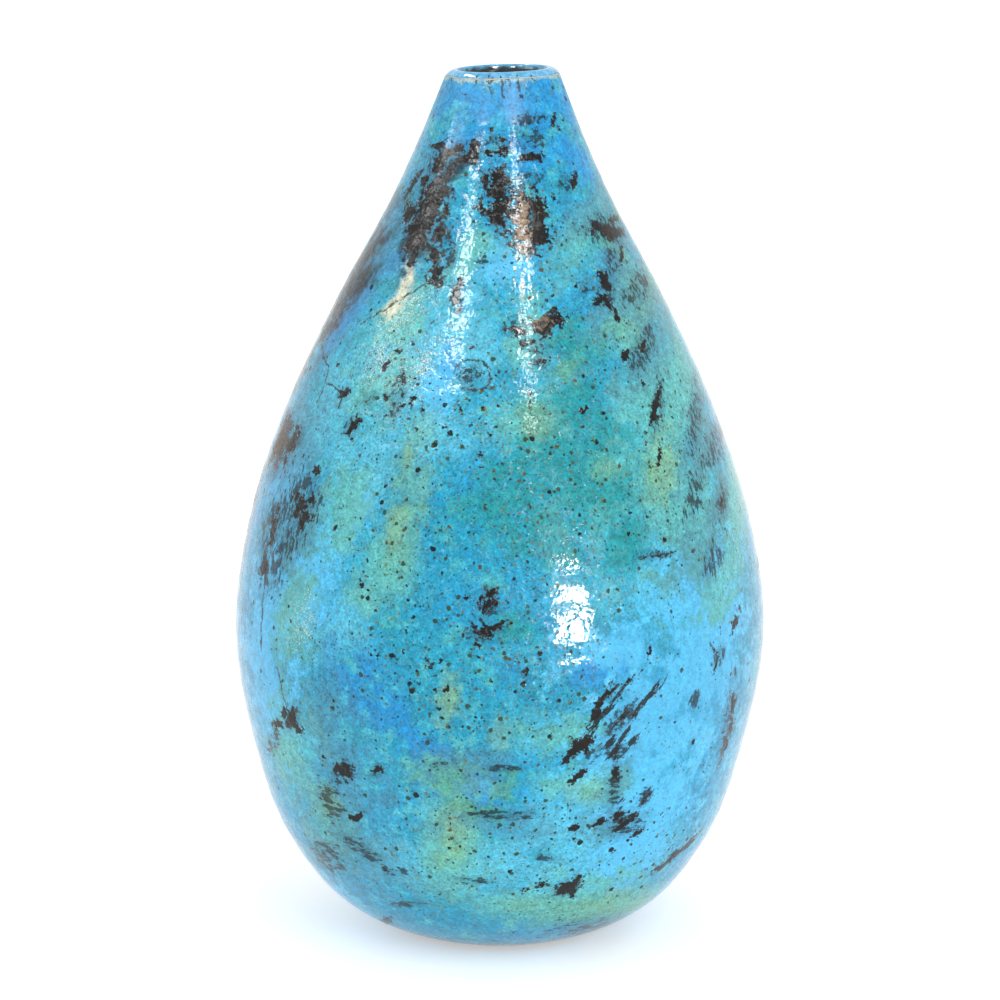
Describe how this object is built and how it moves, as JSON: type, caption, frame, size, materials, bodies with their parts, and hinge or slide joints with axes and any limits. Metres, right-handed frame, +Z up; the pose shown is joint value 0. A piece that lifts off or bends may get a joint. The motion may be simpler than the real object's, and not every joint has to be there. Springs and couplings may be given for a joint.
{
  "type": "raku vase",
  "caption": "Teardrop bottle vase in raku-fired clay: round belly, narrow open mouth, crackled turquoise glaze with smoky metallic patches, bare foot ring.",
  "frame": {"origin": "middle of the flat foot, on the surface that the vase stands on", "axes": "+Z up along the vase's axis; the picture looks along +Y with +X to its right, and the lip's +X side is the slightly higher one"},
  "size_m": [0.1844, 0.1844, 0.3005],
  "materials": {
    "raku_clay": "bare buff raku clay, smoke-darkened, rough",
    "turquoise_glaze": "glossy crackled turquoise glaze with black and bronze reduced patches and iron specks",
    "lip_glaze": "glossy blue glaze on the rounded lip",
    "liner_glaze": "glossy green-black smoked glaze inside"
  },
  "bodies": {
    "root": {"clay_body": "raku_clay", "outer_glaze": "turquoise_glaze", "lip_glaze": "lip_glaze", "liner_glaze": "liner_glaze"}
  },
  "joints": []
}
